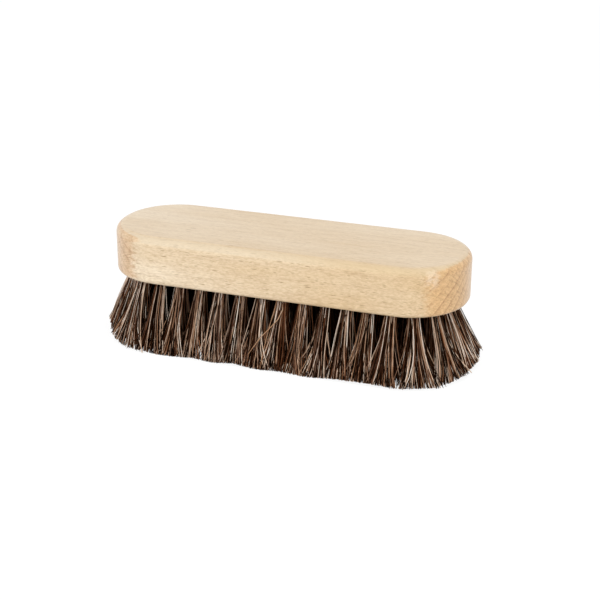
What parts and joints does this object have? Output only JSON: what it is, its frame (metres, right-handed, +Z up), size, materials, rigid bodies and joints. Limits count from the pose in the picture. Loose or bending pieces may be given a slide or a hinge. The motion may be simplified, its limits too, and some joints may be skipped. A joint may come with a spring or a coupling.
{
  "type": "shoe shine brush",
  "caption": "Shoe shine brush: a rounded beech block held in the hand, with mixed horsehair tufts folded over wire staples in blind holes and trimmed level for buffing",
  "frame": {"origin": "middle of the trimmed bristle tips, on the surface that the brush stands on", "axes": "+X along the brush to its right end, +Y to the back, +Z up through the block"},
  "size_m": [0.1632, 0.0632, 0.0465],
  "materials": {
    "beech": "satin",
    "horsehair": "satin",
    "staple_wire": "satin"
  },
  "bodies": {
    "root": {"centre_tuft_pair_01": "horsehair", "centre_tuft_pair_02": "horsehair", "centre_tuft_pair_03": "horsehair", "centre_tuft_pair_04": "horsehair", "centre_tuft_pair_05": "horsehair", "centre_tuft_pair_06": "horsehair", "middle_tuft_pair_01": "horsehair", "middle_tuft_pair_02": "horsehair", "middle_tuft_pair_03": "horsehair", "middle_tuft_pair_04": "horsehair", "middle_tuft_pair_05": "horsehair", "middle_tuft_pair_06": "horsehair", "middle_tuft_pair_07": "horsehair", "middle_tuft_pair_08": "horsehair", "middle_tuft_pair_09": "horsehair", "middle_tuft_pair_10": "horsehair", "middle_tuft_pair_11": "horsehair", "middle_tuft_pair_12": "horsehair", "middle_tuft_pair_13": "horsehair", "middle_tuft_pair_14": "horsehair", "outer_back_tuft_01": "horsehair", "outer_back_tuft_02": "horsehair", "outer_back_tuft_03": "horsehair", "outer_back_tuft_04": "horsehair", "outer_back_tuft_05": "horsehair", "outer_back_tuft_06": "horsehair", "outer_back_tuft_07": "horsehair", "outer_back_tuft_08": "horsehair", "outer_back_tuft_09": "horsehair", "outer_back_tuft_10": "horsehair", "outer_back_tuft_11": "horsehair", "outer_back_tuft_12": "horsehair", "outer_back_tuft_13": "horsehair", "outer_back_tuft_14": "horsehair", "outer_back_tuft_15": "horsehair", "outer_back_tuft_16": "horsehair", "outer_back_tuft_17": "horsehair", "outer_back_tuft_18": "horsehair", "outer_front_tuft_01": "horsehair", "outer_front_tuft_02": "horsehair", "outer_front_tuft_03": "horsehair", "outer_front_tuft_04": "horsehair", "outer_front_tuft_05": "horsehair", "outer_front_tuft_06": "horsehair", "outer_front_tuft_07": "horsehair", "outer_front_tuft_08": "horsehair", "outer_front_tuft_09": "horsehair", "outer_front_tuft_10": "horsehair", "outer_front_tuft_11": "horsehair", "outer_front_tuft_12": "horsehair", "outer_front_tuft_13": "horsehair", "outer_front_tuft_14": "horsehair", "outer_front_tuft_15": "horsehair", "outer_front_tuft_16": "horsehair", "outer_front_tuft_17": "horsehair", "outer_front_tuft_18": "horsehair", "staples": "staple_wire", "wood_block": "beech"}
  },
  "joints": []
}
